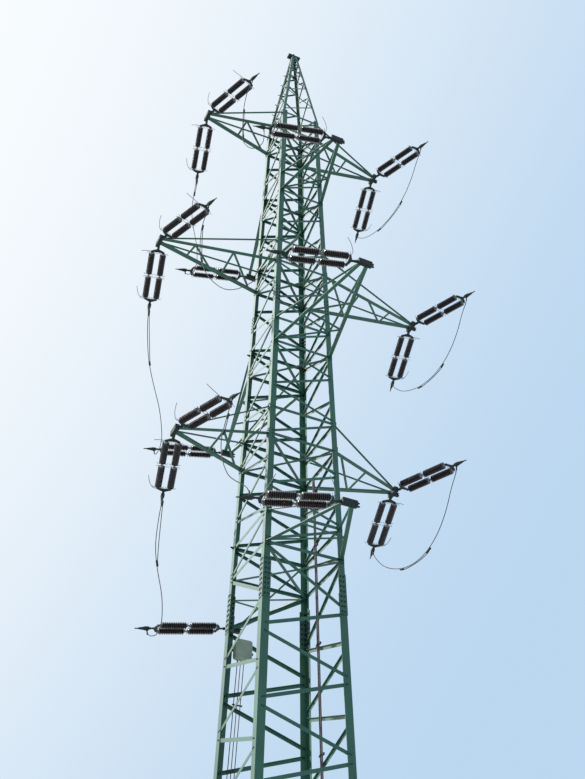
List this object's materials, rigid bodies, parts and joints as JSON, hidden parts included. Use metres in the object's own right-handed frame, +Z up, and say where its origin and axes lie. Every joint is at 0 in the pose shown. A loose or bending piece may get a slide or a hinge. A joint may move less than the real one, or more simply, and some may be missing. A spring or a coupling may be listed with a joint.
{
  "type": "lattice transmission pylon",
  "caption": "Tall square lattice pylon with staggered arms on every side, paired tension insulator strings at the arm tips and a pointed lattice top for the earth wire",
  "frame": {"origin": "on the tower's axis at ground level, in the plane of the undersides of the foot plates", "axes": "+Z up the tower; the main arms lie along X and the branch arms along Y"},
  "size_m": [9.5555, 9.9614, 38.04],
  "materials": {
    "green_paint": "matt green paint on hot-rolled angles",
    "insulator_glaze": "dark brown glossy glaze",
    "zinc_fittings": "weathered galvanised steel",
    "conductor": "weathered stranded aluminium",
    "grey_box": "pale grey paint, weathered",
    "brown_pipe": "brown paint, weathered",
    "cable_sheath": "black cable sheath"
  },
  "bodies": {
    "root": {"arms_branch_high": "green_paint", "arms_branch_low": "green_paint", "arms_branch_middle": "green_paint", "arms_main_high": "green_paint", "arms_main_low": "green_paint", "arms_main_middle": "green_paint", "base_plates": "zinc_fittings", "down_cables": "cable_sheath", "down_pipes": "brown_pipe", "insulators_branch": "insulator_glaze", "insulators_main": "insulator_glaze", "joint_box": "grey_box", "joint_box_rail": "green_paint", "jumper_back_high": "conductor", "jumper_back_low": "conductor", "jumper_back_middle": "conductor", "jumper_front_high": "conductor", "jumper_front_low": "conductor", "jumper_front_middle": "conductor", "jumper_right_high": "conductor", "jumper_right_low": "conductor", "jumper_right_middle": "conductor", "leg_splices": "green_paint", "legs_lower": "green_paint", "legs_upper": "green_paint", "level_frames": "green_paint", "peak_cap": "zinc_fittings", "peak_legs": "green_paint", "peak_sides": "green_paint", "side_lower_back": "green_paint", "side_lower_front": "green_paint", "side_lower_left": "green_paint", "side_lower_right": "green_paint", "side_upper_back": "green_paint", "side_upper_front": "green_paint", "side_upper_left": "green_paint", "side_upper_right": "green_paint", "string_fittings_branch": "zinc_fittings", "string_fittings_main": "zinc_fittings", "ties_branch": "green_paint", "ties_main": "green_paint"}
  },
  "joints": []
}
